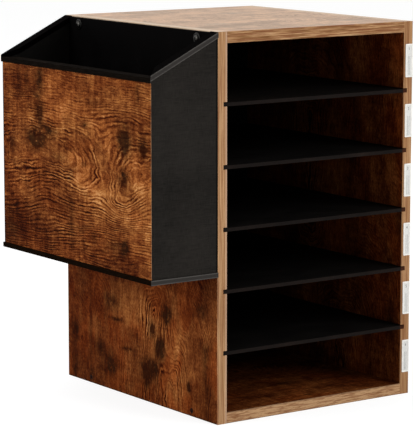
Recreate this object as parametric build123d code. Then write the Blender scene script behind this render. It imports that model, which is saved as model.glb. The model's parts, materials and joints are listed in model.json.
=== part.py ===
from build123d import *
from math import atan2, cos
import os

# Mail sorter: an open-fronted cabinet with five pull-out shelves and a pocket on its left side.
# Millimetres. X runs across the front, the open front faces -Y, and Z is up.
# The origin is the middle of the cabinet's underside.

# Cabinet
cabinet_width = 261.0
cabinet_depth = 296.0
cabinet_height = 415.0
board = 12.0              # thickness of the four outer boards
band = 1.0                # thickness of the glued edge bands
arris = 0.5               # rounding of every edge that a hand meets

# Back panel, held in a groove all round
back_thick = 3.0
back_inset = 4.0          # from the rear edges to the back panel
back_groove = 5.0         # how deep the groove is
back_play = 0.2           # between the panel and the groove's end

# Shelves, loose in grooves that are open at the front
shelf_count = 5
shelf_thick = 4.0
shelf_groove = 4.8        # how deep a groove is
shelf_side_play = 0.3     # at each side of a shelf
shelf_headroom = 0.8      # above a shelf, inside its groove
shelf_rear_play = 0.5     # between a shelf and the back panel

# Fasteners of the cabinet
screw_inset = 48.0        # from the front and the rear to a screw
screw_size = 4.0
screw_head = 6.0
screw_length = 40.0
screw_play = 0.1          # round a screw, everywhere
recess_width = 1.0        # cross recess in a screw head
recess_depth = 1.2
recess_reach = 0.6        # length of the cross, as a share of the head's width
dowel_size = 6.0
dowel_length = 28.0
dowel_in_side = 9.0       # how far a dowel reaches into a side panel
dowel_inset = 88.0        # from the front and the rear to a dowel
dowel_play = 0.05
dowel_end_play = 1.0
dowel_chamfer = 1.0

# Label holders on the right-hand front edge, one beside each bay
label_width = 9.6
label_height = 36.4
label_thick = 0.8
label_edge_gap = 2.0      # from the bay's side to the holder
label_frame = 1.6         # width of the rim round the window
label_floor = 0.3         # thickness behind the card
label_corner = 1.0
card_thick = 0.25
card_play = 0.1

# Pocket on the left side
pocket_reach = 83.0       # from the cabinet's side to the pocket's outer face
pocket_board = 12.0       # thickness of its outer panel and its two ends
pocket_strip = 5.5        # thickness of its floor, its rail and its two caps
pocket_overhang = 1.4     # how far the strips stand out past the boards
pocket_top_gap = 6.2      # from the cabinet's top down to an end's high corner
pocket_end_fall = 39.8    # how far the sloping top of an end comes down
pocket_panel_drop = 2.3   # from an end's low corner down to the top of the outer panel
pocket_panel_height = 203.0
pocket_back_thick = 3.0
pocket_back_gap = 1.0     # from the cabinet's top down to the back
pocket_rebate = 6.0       # width of the step that the back lies in
pocket_back_play = 0.1

# Screws of the pocket
hanger_size = 3.5
hanger_head = 7.0
hanger_head_height = 2.0
hanger_head_crown = 1.6   # rounding of the head's upper edge
hanger_length = 13.0
hanger_end_inset = 33.0   # from the cabinet's front and rear
hanger_top_gap = 8.5      # from the cabinet's top
hanger_low_gap = 26.3     # from the pocket's floor
washer_size = 12.0
washer_thick = 1.0
floor_screw_size = 3.0
floor_screw_head = 5.5
floor_screw_length = 22.0
floor_screw_share = 0.3   # place along a board, as a share of its length from the middle

# Places that follow from the sizes
half_width = cabinet_width / 2
inner_x = half_width - board
front_y = -cabinet_depth / 2
rear_y = cabinet_depth / 2
board_front_y = front_y + band
inner_top_z = cabinet_height - board
back_rear_y = rear_y - back_inset
back_front_y = back_rear_y - back_thick
bay_height = (inner_top_z - board - shelf_count * shelf_thick) / (shelf_count + 1)
bay_pitch = bay_height + shelf_thick
wall_x = -half_width
outer_x = wall_x - pocket_reach
rim_x = outer_x - pocket_overhang
rim_y = front_y - pocket_overhang
rim_width = pocket_board + 2 * pocket_overhang
pocket_end_low = cabinet_height - pocket_top_gap - pocket_end_fall
pocket_front_top = pocket_end_low - pocket_panel_drop
pocket_floor_z = pocket_front_top - pocket_panel_height
pocket_under_z = pocket_floor_z - pocket_strip
pocket_back_top = cabinet_height - pocket_back_gap
hanger_heights = (pocket_floor_z + hanger_low_gap, cabinet_height - hanger_top_gap)
end_slope = pocket_end_fall / pocket_reach
cap_rise = pocket_strip / cos(atan2(end_slope, 1.0))
past = 1.0                # how far a cutter reaches out of what it cuts

os.makedirs("parts", exist_ok=True)


def slab(x_range, y_range, z_range):
    x0, x1 = sorted(x_range)
    y0, y1 = sorted(y_range)
    z0, z1 = sorted(z_range)
    middle = ((x0 + x1) / 2, (y0 + y1) / 2, (z0 + z1) / 2)
    return Pos(*middle) * Box(x1 - x0, y1 - y0, z1 - z0)


def prism_up(points, z0, z1):
    # An outline in X and Y, raised from z0 to z1.
    outline = make_face(Polyline(*points, close=True))
    return extrude(Pos(0, 0, z0) * outline, amount=z1 - z0)


def prism_back(points, y0, y1):
    # An outline in X and Z, drawn back from y0 to y1.
    outline = make_face(Polyline(*[(x, y0, z) for x, z in points], close=True))
    return extrude(outline, amount=y1 - y0, dir=(0, 1, 0))


def save(name, *solids):
    shape = solids[0] if len(solids) == 1 else Compound(children=list(solids))
    export_step(shape, f"parts/{name}.step")


# Fasteners, drawn with the head's top at z = 0 and the shank pointing down

def screw_blank(size, head, length, play=0.0):
    # A countersunk screw without its recess, grown all round by the play.
    shank_r = size / 2 + play
    head_r = head / 2 + play
    tip = size / 2
    half = Polyline((0, 0), (head_r, 0), (shank_r, shank_r - head_r), (shank_r, tip - length - play),
                    (0, -length - play), close=True)
    return revolve(make_face(Plane.XZ * half), Axis.Z)


def screw_hole(size, head, length):
    mouth = Pos(0, 0, past / 2) * Cylinder(head / 2 + screw_play, past)
    return screw_blank(size, head, length, screw_play) + mouth


def cross_recess(head, top_z=0.0):
    arm = head * recess_reach
    bars = [Box(arm, recess_width, recess_depth), Box(recess_width, arm, recess_depth)]
    return Pos(0, 0, top_z - recess_depth / 2) * (bars[0] + bars[1])


def flat_screw(size, head, length):
    return screw_blank(size, head, length) - cross_recess(head)


def hanger_screw():
    # A round-headed screw. Its head stands on z = 0.
    head_r = hanger_head / 2
    shank_r = hanger_size / 2
    half = Polyline((0, hanger_head_height), (head_r, hanger_head_height), (head_r, 0), (shank_r, 0),
                    (shank_r, shank_r - hanger_length), (0, -hanger_length), close=True)
    screw = revolve(make_face(Plane.XZ * half), Axis.Z)
    crown = screw.edges().filter_by(GeomType.CIRCLE).sort_by(Axis.Z)[-1]
    screw = fillet(crown, hanger_head_crown)
    return screw - cross_recess(hanger_head, hanger_head_height)


def washer():
    ring = Cylinder(washer_size / 2, washer_thick)
    rim = ring.edges().filter_by(GeomType.CIRCLE).sort_by(Axis.Z)[-1]
    ring = fillet(rim, washer_thick / 2)
    return ring - Cylinder(hanger_size / 2 + screw_play, washer_thick + 2 * past)


def facing(side):
    # Turns a fastener so that its head faces away from the cabinet, left (-1) or right (+1).
    return Rot(0, 90 * side, 0)


def screw_places():
    # Centres of the cabinet screws on a side panel's outer face, in Y and Z.
    return [(y, z) for y in (front_y + screw_inset, rear_y - screw_inset)
            for z in (board / 2, cabinet_height - board / 2)]


def dowel_places():
    return [(y, z) for y in (front_y + dowel_inset, rear_y - dowel_inset)
            for z in (board / 2, cabinet_height - board / 2)]


def cabinet_screw_holes():
    hole = screw_hole(screw_size, screw_head, screw_length)
    return [Pos(side * half_width, y, z) * facing(side) * hole
            for side in (-1, 1) for y, z in screw_places()]


def dowel_middle_x(side):
    return side * (inner_x + dowel_in_side - dowel_length / 2)


def dowel_holes():
    bore = Cylinder(dowel_size / 2 + dowel_play, dowel_length + 2 * dowel_end_play)
    return [Pos(dowel_middle_x(side), y, z) * Rot(0, 90, 0) * bore
            for side in (-1, 1) for y, z in dowel_places()]


def hanger_places():
    return [(y, z) for y in (front_y + hanger_end_inset, rear_y - hanger_end_inset)
            for z in hanger_heights]


def hanger_holes():
    bore = Cylinder(hanger_size / 2 + screw_play, 2 * (hanger_length + screw_play))
    head_x = wall_x - pocket_back_thick - washer_thick
    return [Pos(head_x, y, z) * facing(-1) * bore for y, z in hanger_places()]


# Cabinet

def shelf_floor_z(index):
    # The underside of a shelf. The first shelf is the top one.
    return inner_top_z - (index + 1) * bay_pitch


def shelf_grooves(side):
    x_range = (side * (inner_x - past), side * (inner_x + shelf_groove))
    y_range = (front_y - past, back_rear_y)
    groove_height = shelf_thick + shelf_headroom
    return [slab(x_range, y_range, (shelf_floor_z(i), shelf_floor_z(i) + groove_height))
            for i in range(shelf_count)]


def back_groove_cut():
    # One slot for the back panel through the edges of all four boards.
    return slab((-(inner_x + back_groove), inner_x + back_groove), (back_front_y, back_rear_y),
                (board - back_groove, inner_top_z + back_groove))


def side_panel(side):
    panel = slab((side * inner_x, side * half_width), (board_front_y, rear_y), (0, cabinet_height - band))
    panel -= shelf_grooves(side)
    panel -= back_groove_cut()
    panel -= cabinet_screw_holes()
    panel -= dowel_holes()
    return panel - hanger_holes() if side < 0 else panel


def level_panel(z0):
    panel = slab((-inner_x, inner_x), (board_front_y, rear_y), (z0, z0 + board))
    panel -= back_groove_cut()
    panel -= cabinet_screw_holes()
    return panel - dowel_holes()


def upright_band(side):
    strip = slab((side * inner_x, side * half_width), (front_y, board_front_y), (0, cabinet_height))
    strip = fillet(strip.edges().filter_by(Axis.Z).sort_by(Axis.Y)[:2], arris)
    return strip - shelf_grooves(side)


def level_band(z0):
    strip = slab((-inner_x, inner_x), (front_y, board_front_y), (z0, z0 + board))
    return fillet(strip.edges().filter_by(Axis.X).sort_by(Axis.Y)[:2], arris)


def top_edge_band(side):
    strip = slab((side * inner_x, side * half_width), (board_front_y, rear_y),
                 (cabinet_height - band, cabinet_height))
    long_edges = strip.edges().filter_by(Axis.Y).sort_by(Axis.Z)[2:]
    outer_edge = long_edges.sort_by(lambda edge: side * edge.center().X)[-1]
    return fillet(outer_edge, arris)


def back_panel():
    reach = inner_x + back_groove - back_play
    return slab((-reach, reach), (back_front_y, back_rear_y),
                (board - back_groove, inner_top_z + back_groove - back_play))


def shelf(index):
    reach = inner_x + shelf_groove - shelf_side_play
    floor_z = shelf_floor_z(index)
    plate = slab((-reach, reach), (front_y, back_front_y - shelf_rear_play), (floor_z, floor_z + shelf_thick))
    return fillet(plate.edges().filter_by(Axis.X).sort_by(Axis.Y)[:2], arris)


def bay_middle_z(index):
    return inner_top_z - bay_height / 2 - index * bay_pitch


def on_label(index, y, shape):
    middle_x = inner_x + label_edge_gap + label_width / 2
    return Pos(middle_x, y, bay_middle_z(index)) * Rot(90, 0, 0) * shape


def label_holder(index):
    plate = extrude(RectangleRounded(label_width, label_height, label_corner), label_thick)
    window = Rectangle(label_width - 2 * label_frame, label_height - 2 * label_frame)
    window_deep = label_thick - label_floor
    plate -= Pos(0, 0, label_floor) * extrude(window, window_deep + past)
    return on_label(index, front_y, plate)


def label_card(index):
    margin = 2 * (label_frame + card_play)
    card = extrude(Rectangle(label_width - margin, label_height - margin), card_thick)
    return on_label(index, front_y - label_floor, card)


def build_cabinet():
    save("left_side_panel", side_panel(-1))
    save("right_side_panel", side_panel(1))
    save("bottom_panel", level_panel(0))
    save("top_panel", level_panel(inner_top_z))
    save("back_panel", back_panel())
    save("left_front_band", upright_band(-1))
    save("right_front_band", upright_band(1))
    save("bottom_front_band", level_band(0))
    save("top_front_band", level_band(inner_top_z))
    save("left_top_band", top_edge_band(-1))
    save("right_top_band", top_edge_band(1))
    for i in range(shelf_count):
        save(f"shelf_{i + 1}", shelf(i))
    for i in range(shelf_count + 1):
        save(f"label_holder_{i + 1}", label_holder(i))
        save(f"label_card_{i + 1}", label_card(i))


def build_fasteners():
    screw = flat_screw(screw_size, screw_head, screw_length)
    save("cabinet_screws", *[Pos(side * half_width, y, z) * facing(side) * screw
                             for side in (-1, 1) for y, z in screw_places()])
    pin = Cylinder(dowel_size / 2, dowel_length)
    pin = chamfer(pin.edges().filter_by(GeomType.CIRCLE), dowel_chamfer)
    save("wood_dowels", *[Pos(dowel_middle_x(side), y, z) * Rot(0, 90, 0) * pin
                          for side in (-1, 1) for y, z in dowel_places()])
    head_x = wall_x - pocket_back_thick - washer_thick
    save("hanger_screws", *[Pos(head_x, y, z) * facing(-1) * hanger_screw() for y, z in hanger_places()])
    washer_x = wall_x - pocket_back_thick - washer_thick / 2
    save("hanger_washers", *[Pos(washer_x, y, z) * facing(-1) * washer() for y, z in hanger_places()])
    floor_screw = flat_screw(floor_screw_size, floor_screw_head, floor_screw_length)
    save("pocket_floor_screws", *[Pos(x, y, pocket_under_z) * Rot(180, 0, 0) * floor_screw
                                  for x, y in floor_screw_places()])


# Pocket. Its boards meet in upright mitres at the two outer corners.

def end_top(x):
    # Height of the sloping top edge of an end at x.
    return pocket_end_low + end_slope * (x - outer_x)


def floor_screw_places():
    panel_x = outer_x + pocket_board / 2
    end_y = rear_y - pocket_board / 2
    along_panel = floor_screw_share * cabinet_depth
    middle_x = (outer_x + wall_x) / 2
    along_end = floor_screw_share * pocket_reach
    on_panel = [(panel_x, y) for y in (-along_panel, along_panel)]
    on_ends = [(middle_x + dx, y) for dx in (-along_end, along_end) for y in (-end_y, end_y)]
    return on_panel + on_ends


def floor_screw_holes():
    hole = screw_hole(floor_screw_size, floor_screw_head, floor_screw_length)
    return [Pos(x, y, pocket_under_z) * Rot(180, 0, 0) * hole for x, y in floor_screw_places()]


def long_mitred(x0, y0, width, z0, z1):
    # A board along the outer side, cut at 45 degrees at both ends.
    points = [(x0, y0), (x0 + width, y0 + width), (x0 + width, -y0 - width), (x0, -y0)]
    return prism_up(points, z0, z1)


def end_mitred(x0, y0, width):
    # The upright column that a piece at the front end is cut to, with its one mitred corner.
    points = [(x0, y0), (wall_x, y0), (wall_x, y0 + width), (x0 + width, y0 + width)]
    return prism_up(points, 0, cabinet_height + cap_rise)


def pocket_panel():
    panel = long_mitred(outer_x, front_y, pocket_board, pocket_floor_z, pocket_front_top)
    return panel - floor_screw_holes()


def pocket_end():
    profile = [(outer_x, pocket_floor_z), (wall_x, pocket_floor_z),
               (wall_x, end_top(wall_x)), (outer_x, end_top(outer_x))]
    end = prism_back(profile, front_y, front_y + pocket_board)
    end &= end_mitred(outer_x, front_y, pocket_board)
    inner_y = front_y + pocket_board
    end -= slab((wall_x - pocket_back_thick, wall_x + past), (inner_y - pocket_rebate, inner_y + past),
                (pocket_floor_z - past, cabinet_height))
    return end - floor_screw_holes()


def pocket_cap():
    profile = [(rim_x, end_top(rim_x)), (wall_x, end_top(wall_x)),
               (wall_x, end_top(wall_x) + cap_rise), (rim_x, end_top(rim_x) + cap_rise)]
    cap = prism_back(profile, rim_y, rim_y + rim_width)
    cap = fillet(cap.edges().filter_by(lambda edge: edge.length > pocket_reach), arris)
    return cap & end_mitred(rim_x, rim_y, rim_width)


def pocket_rail():
    rail = slab((rim_x, rim_x + rim_width), (rim_y, -rim_y),
                (pocket_front_top, pocket_front_top + pocket_strip))
    rail = fillet(rail.edges().filter_by(Axis.Y), arris)
    return rail & long_mitred(rim_x, rim_y, rim_width, 0, cabinet_height)


def pocket_floor():
    floor = slab((rim_x, wall_x), (rim_y, -rim_y), (pocket_under_z, pocket_floor_z))
    edges = floor.edges()
    edges = edges.filter_by(Axis.X) + edges.filter_by(Axis.Y).sort_by(Axis.X)[:2]
    return fillet(edges, arris) - floor_screw_holes()


def pocket_back():
    reach = -front_y - pocket_board + pocket_rebate - pocket_back_play
    panel = slab((wall_x - pocket_back_thick, wall_x), (-reach, reach), (pocket_floor_z, pocket_back_top))
    notch_y = -rim_y - rim_width
    notch_z = end_top(wall_x - pocket_back_thick)
    for side in (-1, 1):
        panel -= slab((wall_x - pocket_back_thick - past, wall_x + past),
                      (side * (notch_y - pocket_back_play), side * (reach + past)),
                      (notch_z, pocket_back_top + past))
    return panel - hanger_holes()


def build_pocket():
    save("pocket_front_panel", pocket_panel())
    save("pocket_front_end", pocket_end())
    save("pocket_rear_end", mirror(pocket_end(), about=Plane.XZ))
    save("pocket_back_panel", pocket_back())
    save("pocket_floor", pocket_floor())
    save("pocket_rail", pocket_rail())
    save("pocket_front_cap", pocket_cap())
    save("pocket_rear_cap", mirror(pocket_cap(), about=Plane.XZ))


build_cabinet()
build_pocket()
build_fasteners()
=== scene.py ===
import json
import math
import bmesh
import bpy
from mathutils import Matrix, Vector

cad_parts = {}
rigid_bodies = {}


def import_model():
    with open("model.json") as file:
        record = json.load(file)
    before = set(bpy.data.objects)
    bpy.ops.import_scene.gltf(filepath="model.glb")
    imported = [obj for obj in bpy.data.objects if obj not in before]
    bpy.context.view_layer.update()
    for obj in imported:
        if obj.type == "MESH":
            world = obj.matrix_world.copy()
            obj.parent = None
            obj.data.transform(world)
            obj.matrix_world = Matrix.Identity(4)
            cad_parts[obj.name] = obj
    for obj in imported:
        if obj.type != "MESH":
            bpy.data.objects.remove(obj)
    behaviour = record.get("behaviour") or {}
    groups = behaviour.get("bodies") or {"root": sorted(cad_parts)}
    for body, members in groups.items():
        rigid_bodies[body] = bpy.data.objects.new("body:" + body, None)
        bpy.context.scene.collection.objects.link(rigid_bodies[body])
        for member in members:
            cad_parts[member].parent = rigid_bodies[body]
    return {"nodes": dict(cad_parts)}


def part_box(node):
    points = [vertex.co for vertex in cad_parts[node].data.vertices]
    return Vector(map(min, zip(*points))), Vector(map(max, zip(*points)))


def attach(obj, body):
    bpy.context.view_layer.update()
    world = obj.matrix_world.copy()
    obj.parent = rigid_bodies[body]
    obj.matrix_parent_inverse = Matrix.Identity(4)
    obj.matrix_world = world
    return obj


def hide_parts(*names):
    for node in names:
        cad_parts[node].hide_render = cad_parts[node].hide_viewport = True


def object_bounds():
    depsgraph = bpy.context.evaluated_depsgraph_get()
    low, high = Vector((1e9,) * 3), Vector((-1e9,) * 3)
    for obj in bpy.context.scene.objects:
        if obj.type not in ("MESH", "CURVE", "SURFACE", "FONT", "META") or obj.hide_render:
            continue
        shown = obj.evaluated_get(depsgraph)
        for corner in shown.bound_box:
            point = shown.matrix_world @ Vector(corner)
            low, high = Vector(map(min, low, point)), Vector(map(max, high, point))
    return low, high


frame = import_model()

cadLow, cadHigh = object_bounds()
nodes = frame["nodes"]
mm = 0.001
print("mail sorter: frame loaded,", len(nodes), "CAD nodes")


def show(thing):
    bpy.context.scene.collection.objects.link(thing)


# Camera

camera = {
    "lens": 201.6,
    "distance": 2.7085,
    "turn": 35.18,                      # degrees, from straight ahead towards the pocket's side
    "lookDown": 8.93,
    "aim": (-0.0279, 0.0170, 0.19345),  # in metres, like the distance
    "clipEnd": 50,
}


def makeCamera(spec):
    turn, down = math.radians(spec["turn"]), math.radians(spec["lookDown"])
    looking = Vector((math.sin(turn) * math.cos(down), math.cos(turn) * math.cos(down), -math.sin(down)))
    data = bpy.data.cameras.new("camera")
    data.lens = spec["lens"]
    data.clip_end = spec["clipEnd"]
    view = bpy.data.objects.new("camera", data)
    view.location = Vector(spec["aim"]) - looking * spec["distance"]
    view.rotation_euler = looking.to_track_quat("-Z", "Y").to_euler()
    show(view)
    bpy.context.scene.camera = view


makeCamera(camera)
print("camera placed")


# Shader tree helpers. Those that add a part to a tree return its output socket.

def srgb(red, green, blue):
    # A display colour, 0 to 255, as the linear colour that a shader wants.
    def linear(value):
        value /= 255
        return value / 12.92 if value <= 0.04045 else ((value + 0.055) / 1.055) ** 2.4
    return (linear(red), linear(green), linear(blue), 1.0)


def feed(tree, socket, value):
    if isinstance(value, bpy.types.NodeSocket):
        tree.links.new(value, socket)
    else:
        socket.default_value = value


def addNode(tree, kind, inputs=None, output=0, **settings):
    made = tree.nodes.new(kind)
    for name, value in settings.items():
        setattr(made, name, value)
    for name, value in (inputs or {}).items():
        feed(tree, made.inputs[name], value)
    return made.outputs[output]


def calc(tree, operation, *values, clamp=False):
    return addNode(tree, "ShaderNodeMath", dict(enumerate(values)), operation=operation, use_clamp=clamp)


def vectorCalc(tree, operation, *values, output=0):
    return addNode(tree, "ShaderNodeVectorMath", dict(enumerate(values)), output, operation=operation)


def noise(tree, where, size, detail=3.0, roughness=0.55):
    # Size is that of a typical blotch in mm, along each axis of the place.
    place = vectorCalc(tree, "DIVIDE", where, size)
    return addNode(tree, "ShaderNodeTexNoise", {
        "Vector": place, "Scale": 1.0, "Detail": detail, "Roughness": roughness})


def swing(tree, where, size, detail=2.0, roughness=0.55):
    # Noise about 0 instead of about a half.
    return calc(tree, "SUBTRACT", noise(tree, where, size, detail, roughness), 0.5)


def stretch(tree, value, low, high, newLow=0.0, newHigh=1.0):
    return addNode(tree, "ShaderNodeMapRange", {
        "Value": value, "From Min": low, "From Max": high, "To Min": newLow, "To Max": newHigh},
        interpolation_type="SMOOTHSTEP")


def ramp(tree, value, stops):
    made = tree.nodes.new("ShaderNodeValToRGB")
    elements = made.color_ramp.elements
    while len(elements) < len(stops):
        elements.new(0.5)
    for element, (position, colour) in zip(elements, stops):
        element.position = position
        element.color = srgb(*colour)
    feed(tree, made.inputs[0], value)
    return made.outputs[0]


def mixColour(tree, share, first, second, blend="MIX"):
    made = tree.nodes.new("ShaderNodeMix")
    made.data_type = "RGBA"
    made.blend_type = blend
    for index, value in ((0, share), (6, first), (7, second)):
        feed(tree, made.inputs[index], value)
    return made.outputs[2]


def bump(tree, height, depth):
    # Depth is the real height in mm that a height of 1 stands for.
    return addNode(tree, "ShaderNodeBump", {"Height": height, "Strength": 1.0, "Distance": depth * mm})


def spots(tree, flat, marks):
    # Soft oval marks on a flat place, each a middle, a size and an amount, added up.
    total = 0.0
    for (along, across), (long, wide), amount in marks:
        inside = addNode(tree, "ShaderNodeMapping", {
            "Vector": flat, "Location": (along, across, 0), "Scale": (long, wide, 1)},
            vector_type="TEXTURE")
        squared = vectorCalc(tree, "DOT_PRODUCT", inside, inside, output=1)
        fall = calc(tree, "POWER", 1 / math.e, squared)
        total = calc(tree, "MULTIPLY_ADD", fall, amount, total)
    return total


def newMaterial(name, **shaderValues):
    # The shader's own values are given by socket name, with _ for a space.
    made = bpy.data.materials.new(name)
    made.use_nodes = True
    tree = made.node_tree
    tree.nodes.clear()
    shader = tree.nodes.new("ShaderNodeBsdfPrincipled")
    out = tree.nodes.new("ShaderNodeOutputMaterial")
    tree.links.new(shader.outputs[0], out.inputs[0])
    for socketName, value in shaderValues.items():
        shader.inputs[socketName.replace("_", " ")].default_value = value
    return made, tree, shader


def finishShader(tree, shader, colour, roughness, normal):
    feed(tree, shader.inputs["Base Color"], colour)
    feed(tree, shader.inputs["Roughness"], roughness)
    feed(tree, shader.inputs["Normal"], normal)


def millimetres(tree):
    # The place on the piece in mm.
    coords = addNode(tree, "ShaderNodeTexCoord", output=3)
    place = vectorCalc(tree, "SCALE", coords)
    place.node.inputs["Scale"].default_value = 1 / mm
    return place


def axisParts(tree, place):
    outputs = addNode(tree, "ShaderNodeSeparateXYZ", {0: place}).node.outputs
    return {"X": outputs[0], "Y": outputs[1], "Z": outputs[2]}


def dress(material, *names):
    for name in names:
        for slot in nodes[name].material_slots:
            slot.material = material


# Rustic brown boards: a printed face with growth lines round its cores, smudges and golden patches.
# Places and sizes are in mm, along the grain first and then across it.
# A core is where it starts and ends along the grain, its middle across it, and how blunt the lines close
# round it. Pitch is the lines' distance, corePitch the same at a core, and reach how far a core widens it.
# Ripple, sway and gaps make the lines uneven, and they stay weak within a core's hollow.
# Lines, fibre and sawn are strengths in the tone, and clouds is that of the small smudges. FarLines and
# coreLines are the lines' share far from a core and at it.
# Bends push the lines across the grain, lineMarks strengthen or weaken them, patches lift or lower the
# tone, and smudges darken it. Each is a middle, a size and an amount.

boards = {
    "pocket_front_panel": {
        "along": "Y", "across": "Z", "seed": 11.0, "tone": 0.54, "stain": 0.42,
        "pitch": 3.15, "corePitch": 4.2, "reach": 26.0, "ripple": 1.9, "sway": 4.0, "gaps": 1.0,
        "lines": 0.66, "farLines": 0.6, "coreLines": 0.82, "fibre": 0.8, "sawn": 0.3, "clouds": 0.4,
        "cores": [((24, 118), 277, 0.4), ((-134, -124), 276, 0.5)],
        "hollow": 15.0,
        "bends": [((-34, 272), (40, 30), 12), ((-88, 250), (32, 34), 24), ((140, 190), (90, 60), 20),
                  ((60, 240), (50, 30), -6), ((20, 330), (60, 30), 6)],
        "lineMarks": [((-70, 236), (60, 22), 0.5), ((50, 252), (90, 14), 0.45),
                      ((60, 200), (100, 26), 0.15), ((-60, 253), (9, 9), -0.8),
                      ((-20, 190), (110, 20), 0.15), ((0, 352), (170, 20), -0.25),
                      ((-50, 285), (30, 30), 0.15), ((-10, 270), (50, 14), 0.15),
                      ((-126, 262), (14, 24), 0.4), ((-50, 308), (60, 16), -0.1),
                      ((110, 355), (70, 20), -0.3), ((-60, 350), (60, 16), -0.2),
                      ((40, 278), (22, 9), -0.6), ((-60, 180), (60, 12), -0.2)],
        "patches": [((-84, 226), (66, 26), 0.2), ((16, 330), (46, 26), 0.05),
                    ((-138, 220), (24, 40), 0.16), ((60, 352), (90, 16), -0.03),
                    ((-20, 262), (50, 20), 0.05), ((-120, 262), (24, 22), 0.1),
                    ((100, 190), (70, 40), -0.17), ((140, 180), (40, 30), -0.1),
                    ((146, 260), (12, 90), -0.12), ((-80, 172), (64, 15), -0.28),
                    ((112, 350), (40, 24), -0.16), ((36, 276), (24, 10), 0.16),
                    ((110, 308), (40, 10), 0.08), ((-50, 310), (50, 30), 0.06),
                    ((0, 262), (40, 14), 0.08), ((-132, 350), (26, 20), -0.05)],
        "smudges": [((70, 318), (9, 13), 1.2), ((70, 354), (9, 16), 0.9), ((76, 288), (19, 12), 1.5),
                    ((50, 300), (13, 6), 1.0), ((-97, 303), (12, 15), 1.5), ((-133, 298), (8, 10), 1.3),
                    ((-96, 264), (9, 11), 1.0), ((-99, 190), (6, 8), 1.0), ((-84, 190), (26, 11), 0.5),
                    ((-39, 193), (7, 8), 0.6), ((-38, 337), (13, 7), 0.4), ((-21, 312), (5, 3), 0.8),
                    ((-123, 355), (4, 13), 0.6), ((112, 356), (4, 15), 0.4), ((97, 352), (5, 16), 0.4),
                    ((6, 208), (6, 26), 0.5), ((134, 188), (18, 22), 0.6), ((128, 277), (7, 9), 0.8),
                    ((34, 272), (16, 6), 0.4), ((2, 262), (12, 5), 0.4)],
    },
    "left_side_panel": {
        "along": "Z", "across": "Y", "seed": 27.0, "tone": 0.47, "stain": 0.74,
        "pitch": 2.7, "corePitch": 3.6, "reach": 20.0, "ripple": 1.6,
        "lines": 0.95, "farLines": 0.2, "coreLines": 1.1, "fibre": 0.34, "sawn": 0.16, "clouds": 0.35,
        "cores": [((-70, 97), -26, 0.72), ((-90, 20), -60, 0.6), ((270, 460), 34, 0.6)],
        "hollow": 9.0,
        "bends": [((92, -20), (26, 9), 6), ((60, -34), (30, 14), -7)],
        "lineMarks": [((34, -58), (34, 16), -0.25), ((96, -20), (26, 20), 0.25),
                      ((80, 110), (90, 40), -0.15)],
        "patches": [((92, -22), (42, 24), 0.24), ((22, -62), (26, 18), 0.2), ((70, -76), (56, 20), 0.18),
                    ((104, 26), (22, 20), 0.18), ((66, 90), (14, 11), 0.09), ((20, 24), (24, 10), 0.09),
                    ((80, 120), (130, 36), -0.13), ((70, -104), (60, 30), 0.07), ((66, 4), (40, 26), 0.1)],
        "smudges": [((104, -53), (10, 9), 1.5), ((63, -40), (12, 8), 1.9), ((82, -25), (8, 5), 1.4),
                    ((39, -20), (10, 17), 1.4), ((24, -14), (12, 10), 0.9), ((101, 57), (10, 18), 0.8),
                    ((82, 48), (2.5, 14), 1.0), ((52, 24), (2.5, 12), 1.0), ((45, 80), (9, 13), 0.7),
                    ((28, 57), (14, 15), 1.0), ((31, -95), (6, 3.4), 1.3), ((117, -117), (8, 12), 0.8),
                    ((74, -126), (16, 9), 0.6), ((42, -128), (24, 8), 0.5), ((56, 132), (14, 8), 0.9),
                    ((16, 134), (22, 7), 0.8), ((70, 100), (50, 2.5), 0.5), ((10, 98), (9, 5), 0.6)],
    },
    "right_side_panel": {
        # Its lower tone than the left side's is painted shade for its face inside the bays.
        "along": "Z", "across": "Y", "seed": 43.0, "tone": 0.4, "stain": 0.7,
        "pitch": 2.7, "corePitch": 3.8, "reach": 20.0, "ripple": 1.6,
        "lines": 0.9, "farLines": 0.2, "coreLines": 1.1, "sawn": 0.16, "clouds": 0.4,
        "cores": [((230, 330), 40, 0.6), ((-60, 70), -20, 0.65)],
        "patches": [((240, 20), (90, 40), 0.14), ((80, -40), (70, 30), 0.12), ((370, -90), (50, 40), 0.07)],
        "smudges": [((300, -40), (14, 10), 1.0), ((180, 70), (20, 12), 1.0), ((110, -110), (16, 8), 0.8),
                    ((60, 20), (10, 18), 0.8), ((350, 90), (18, 14), 0.8), ((370, -40), (9, 16), 0.7),
                    ((230, -125), (22, 8), 0.7), ((130, 120), (40, 6), 0.6)],
    },
    "top_panel": {
        # Its high tone and the pale colour mixed into it are painted sheen, the top's gloss at a low angle.
        "along": "X", "across": "Y", "seed": 61.0, "tone": 0.66, "stain": 0.1,
        "paintedSheen": 0.24, "specular": 0.42, "roughness": 0.41,
        "contrast": 1.35,               # on all that makes the tone uneven, 1 where it isn't given
        "pitch": 2.9, "corePitch": 4.6, "reach": 24.0, "ripple": 1.6,
        "lines": 0.6, "farLines": 0.3, "coreLines": 0.9, "sawn": 0.22, "clouds": 0.36,
        "cores": [((-40, 50), 0, 0.5), ((80, 160), -70, 0.5)],
        "patches": [((0, 0), (90, 50), 0.08), ((-60, -90), (60, 24), -0.06), ((70, 90), (50, 30), 0.06)],
        "smudges": [((-70, -60), (16, 7), 0.7), ((40, 60), (20, 8), 0.6), ((80, -100), (14, 7), 0.6),
                    ((-30, 120), (22, 8), 0.5), ((10, -130), (18, 6), 0.5)],
    },
    "bottom_panel": {
        "along": "X", "across": "Y", "seed": 83.0, "tone": 0.47, "stain": 0.6,
        "pitch": 2.9, "corePitch": 4.6, "reach": 22.0, "ripple": 1.6,
        "lines": 0.7, "farLines": 0.3, "coreLines": 0.95, "sawn": 0.26, "clouds": 0.6,
        "cores": [((-60, 40), 30, 0.5)],
        "patches": [((-30, 20), (80, 50), 0.12)],
        "smudges": [((50, -50), (16, 9), 0.8), ((-70, 80), (20, 8), 0.8), ((20, 100), (10, 14), 0.7)],
    },
}
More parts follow.
